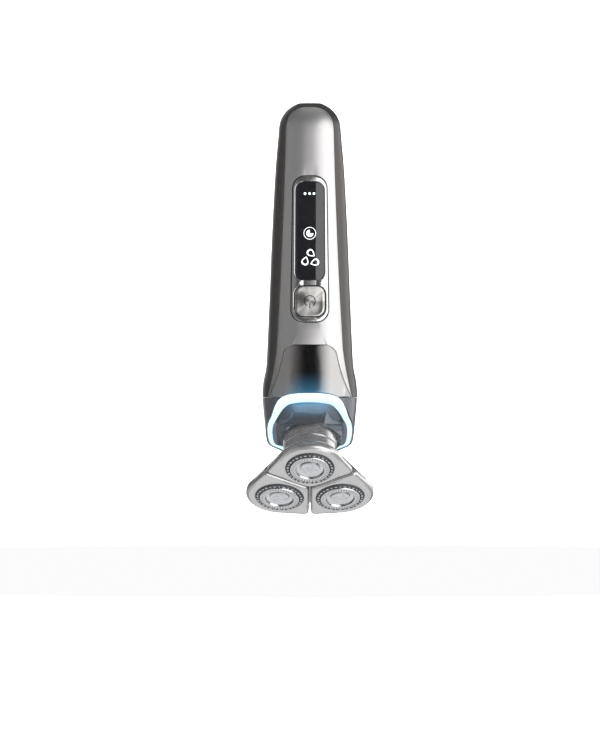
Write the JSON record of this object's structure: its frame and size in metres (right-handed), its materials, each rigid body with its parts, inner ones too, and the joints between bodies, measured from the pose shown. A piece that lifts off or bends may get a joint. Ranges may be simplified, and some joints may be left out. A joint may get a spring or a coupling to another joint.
{
  "type": "electric shaver",
  "caption": "Cordless rotary electric shaver with a tapered handle, framed display, power button, light ring and a tilting click-on shaving unit.",
  "frame": {"origin": "centre of the flat seat at the handle's end, on the handle's axis", "axes": "+Z out of the handle's end seat, +X to the right as seen from the display side, the display faces -Y, the shaving heads are at the low end"},
  "size_m": [0.0584, 0.0684, 0.1897],
  "materials": {
    "shell_dark": "satin",
    "panel_silver": "satin",
    "gloss_black": "gloss",
    "collar_grey": "satin",
    "ring_light": "satin",
    "collar_inner": "satin",
    "neck_silver": "satin",
    "bezel_chrome": "polished",
    "board_green": "matte",
    "seal_black": "matte",
    "inner_plastic": "matte",
    "battery_wrap": "satin",
    "brass_contact": "satin",
    "motor_steel": "satin",
    "socket_black": "matte",
    "screw_steel": "satin",
    "button_steel": "brushed",
    "gear_nylon": "matte",
    "unit_silver": "satin",
    "petal_silver": "satin",
    "track_dark": "satin",
    "guard_steel": "polished",
    "cap_steel": "polished"
  },
  "bodies": {
    "handle": {"rear_housing": "shell_dark", "front_panel": "panel_silver", "front_cover": "gloss_black", "shoulder_collar": "collar_grey", "light_ring": "ring_light", "inner_collar": "collar_inner", "neck_tube": "neck_silver", "display_bezel": "bezel_chrome", "display_window": "gloss_black", "display_board": "board_green", "button_seal": "seal_black", "tact_switch": "inner_plastic", "chassis": "inner_plastic", "battery": "battery_wrap", "battery_contacts": "brass_contact", "main_board": "board_green", "motor_can": "motor_steel", "motor_mount": "inner_plastic", "motor_damper": "seal_black", "neck_seal": "seal_black", "socket_housing": "socket_black", "socket_pins": "brass_contact", "housing_screws": "screw_steel"},
    "button": {"power_button": "button_steel"},
    "rotor": {"motor_shaft": "screw_steel", "drive_coupler": "gear_nylon"},
    "coupling": {"coupling_collar": "neck_silver"},
    "gimbal": {"gimbal_ring": "screw_steel"},
    "unit": {"unit_base": "unit_silver", "gear_plate": "gear_nylon", "gear_plate_screws": "screw_steel"},
    "sun": {"centre_gear": "gear_nylon"},
    "holder": {"holder_frame": "unit_silver"},
    "planet_1": {"planet_gear_1": "gear_nylon", "drive_spindle_1": "screw_steel"},
    "head_1": {"head_carrier_1": "petal_silver", "track_ring_1": "track_dark", "guard_1": "guard_steel", "guard_cap_1": "cap_steel", "lock_ring_1": "inner_plastic"},
    "cutters_1": {"cutter_1": "guard_steel"},
    "planet_2": {"planet_gear_2": "gear_nylon", "drive_spindle_2": "screw_steel"},
    "head_2": {"head_carrier_2": "petal_silver", "track_ring_2": "track_dark", "guard_2": "guard_steel", "guard_cap_2": "cap_steel", "lock_ring_2": "inner_plastic"},
    "cutters_2": {"cutter_2": "guard_steel"},
    "planet_3": {"planet_gear_3": "gear_nylon", "drive_spindle_3": "screw_steel"},
    "head_3": {"head_carrier_3": "petal_silver", "track_ring_3": "track_dark", "guard_3": "guard_steel", "guard_cap_3": "cap_steel", "lock_ring_3": "inner_plastic"},
    "cutters_3": {"cutter_3": "guard_steel"}
  },
  "joints": [
    {"name": "power_button_press", "type": "slide", "parent": "handle", "child": "button", "axis": [0, 1, 0], "range_m": [0, 0.0006], "stiffness_N_per_m": 800, "springref_m": -0.0008},
    {"name": "motor_spin", "type": "hinge", "parent": "handle", "child": "rotor", "pos_m": [0, -0.00542, -0.15103], "axis": [0, 0.5592, 0.829], "continuous": true},
    {"name": "unit_pull_off", "type": "slide", "parent": "handle", "child": "coupling", "axis": [0, -0.5592, -0.829], "range_m": [0, 0.012]},
    {"name": "unit_pitch", "type": "hinge", "parent": "coupling", "child": "gimbal", "pos_m": [0, -0.01269, -0.16181], "axis": [1, 0, 0], "range_deg": [-5, 5], "stiffness_Nm_per_rad": 0.6},
    {"name": "unit_roll", "type": "hinge", "parent": "gimbal", "child": "unit", "pos_m": [0, -0.01269, -0.16181], "axis": [0, 0.829, -0.5592], "range_deg": [-5, 5], "stiffness_Nm_per_rad": 0.6},
    {"name": "centre_gear_spin", "type": "hinge", "parent": "unit", "child": "sun", "pos_m": [0, -0.01773, -0.16927], "axis": [0, 0.5592, 0.829], "continuous": true},
    {"name": "holder_pull_off", "type": "slide", "parent": "unit", "child": "holder", "axis": [0, -0.5592, -0.829], "range_m": [0, 0.015]},
    {"name": "planet_spin_1", "type": "hinge", "parent": "unit", "child": "planet_1", "pos_m": [0, -0.03099, -0.16032], "axis": [0, 0.5592, 0.829], "continuous": true},
    {"name": "head_flex_1", "type": "hinge", "parent": "holder", "child": "head_1", "pos_m": [0, -0.02334, -0.17043], "axis": [-1, 0, 0], "range_deg": [0, 3], "stiffness_Nm_per_rad": 0.5, "springref_deg": -1.15},
    {"name": "cutter_spin_1", "type": "hinge", "parent": "head_1", "child": "cutters_1", "pos_m": [0, -0.03547, -0.16695], "axis": [0, 0.6157, 0.788], "continuous": true},
    {"name": "planet_spin_2", "type": "hinge", "parent": "unit", "child": "planet_2", "pos_m": [0.01386, -0.01109, -0.17374], "axis": [0, 0.5592, 0.829], "continuous": true},
    {"name": "head_flex_2", "type": "hinge", "parent": "holder", "child": "head_2", "pos_m": [0.00346, -0.01836, -0.17378], "axis": [0.5, -0.718, 0.4843], "range_deg": [0, 3], "stiffness_Nm_per_rad": 0.5, "springref_deg": -1.15},
    {"name": "cutter_spin_2", "type": "hinge", "parent": "head_2", "child": "cutters_2", "pos_m": [0.01386, -0.01557, -0.18037], "axis": [-0.0604, 0.5289, 0.8465], "continuous": true},
    {"name": "planet_spin_3", "type": "hinge", "parent": "unit", "child": "planet_3", "pos_m": [-0.01386, -0.01109, -0.17374], "axis": [0, 0.5592, 0.829], "continuous": true},
    {"name": "head_flex_3", "type": "hinge", "parent": "holder", "child": "head_3", "pos_m": [-0.00346, -0.01836, -0.17378], "axis": [0.5, 0.718, -0.4843], "range_deg": [0, 3], "stiffness_Nm_per_rad": 0.5, "springref_deg": -1.15},
    {"name": "cutter_spin_3", "type": "hinge", "parent": "head_3", "child": "cutters_3", "pos_m": [-0.01386, -0.01557, -0.18037], "axis": [0.0604, 0.5289, 0.8465], "continuous": true}
  ],
  "couplings": [
    {"joint": "centre_gear_spin", "follows": "motor_spin", "ratio": 1},
    {"joint": "planet_spin_1", "follows": "motor_spin", "ratio": -2.0769},
    {"joint": "cutter_spin_1", "follows": "motor_spin", "ratio": -2.0769},
    {"joint": "planet_spin_2", "follows": "motor_spin", "ratio": -2.0769},
    {"joint": "cutter_spin_2", "follows": "motor_spin", "ratio": -2.0769},
    {"joint": "planet_spin_3", "follows": "motor_spin", "ratio": -2.0769},
    {"joint": "cutter_spin_3", "follows": "motor_spin", "ratio": -2.0769}
  ]
}
